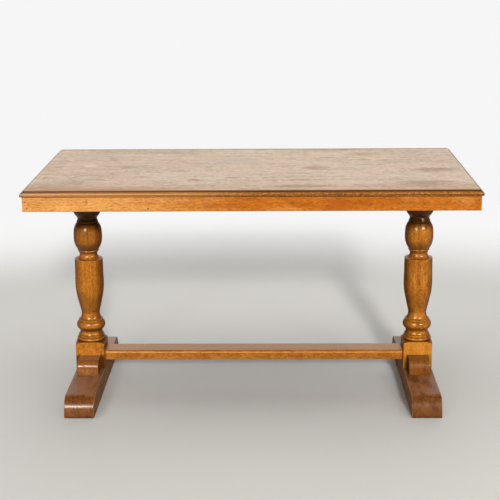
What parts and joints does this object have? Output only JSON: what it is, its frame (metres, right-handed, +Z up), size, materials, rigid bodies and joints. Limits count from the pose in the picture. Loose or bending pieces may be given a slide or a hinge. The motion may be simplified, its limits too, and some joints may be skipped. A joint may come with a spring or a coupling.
{
  "type": "refectory table",
  "caption": "Oak refectory table: moulded top and apron on two turned columns with stepped sledge feet, joined by a low stretcher.",
  "frame": {"origin": "on the floor, under the middle of the top", "axes": "+X along the table's length, +Y to its back, +Z up"},
  "size_m": [1.372, 0.76, 0.73],
  "materials": {
    "top_oak": "worn and bleached oak top, dull varnish with lengthwise grain",
    "apron_oak": "honey-coloured oak under satin varnish",
    "stand_oak": "golden-brown stained oak under glossy varnish, rubbed on the feet",
    "frame_softwood": "raw pale timber, unfinished",
    "fixings_steel": "dull darkened steel"
  },
  "bodies": {
    "root": {"top_board_1": "top_oak", "top_board_2": "top_oak", "top_board_3": "top_oak", "top_board_4": "top_oak", "top_board_5": "top_oak", "apron_front": "apron_oak", "apron_back": "apron_oak", "apron_left": "apron_oak", "apron_right": "apron_oak", "left_column": "stand_oak", "right_column": "stand_oak", "left_foot": "stand_oak", "right_foot": "stand_oak", "left_front_step": "stand_oak", "left_back_step": "stand_oak", "right_front_step": "stand_oak", "right_back_step": "stand_oak", "stretcher": "stand_oak", "left_bearer": "frame_softwood", "right_bearer": "frame_softwood", "corner_block_front_left": "frame_softwood", "corner_block_front_right": "frame_softwood", "corner_block_back_left": "frame_softwood", "corner_block_back_right": "frame_softwood", "glue_blocks_front": "frame_softwood", "glue_blocks_back": "frame_softwood", "glue_blocks_left": "frame_softwood", "glue_blocks_right": "frame_softwood", "top_dowels": "frame_softwood", "left_tenon_wedges": "frame_softwood", "right_tenon_wedges": "frame_softwood", "apron_pins": "fixings_steel", "bearer_screws": "fixings_steel", "corner_block_screws": "fixings_steel", "step_screws": "fixings_steel", "coach_screws": "fixings_steel", "coach_washers": "fixings_steel"}
  },
  "joints": []
}
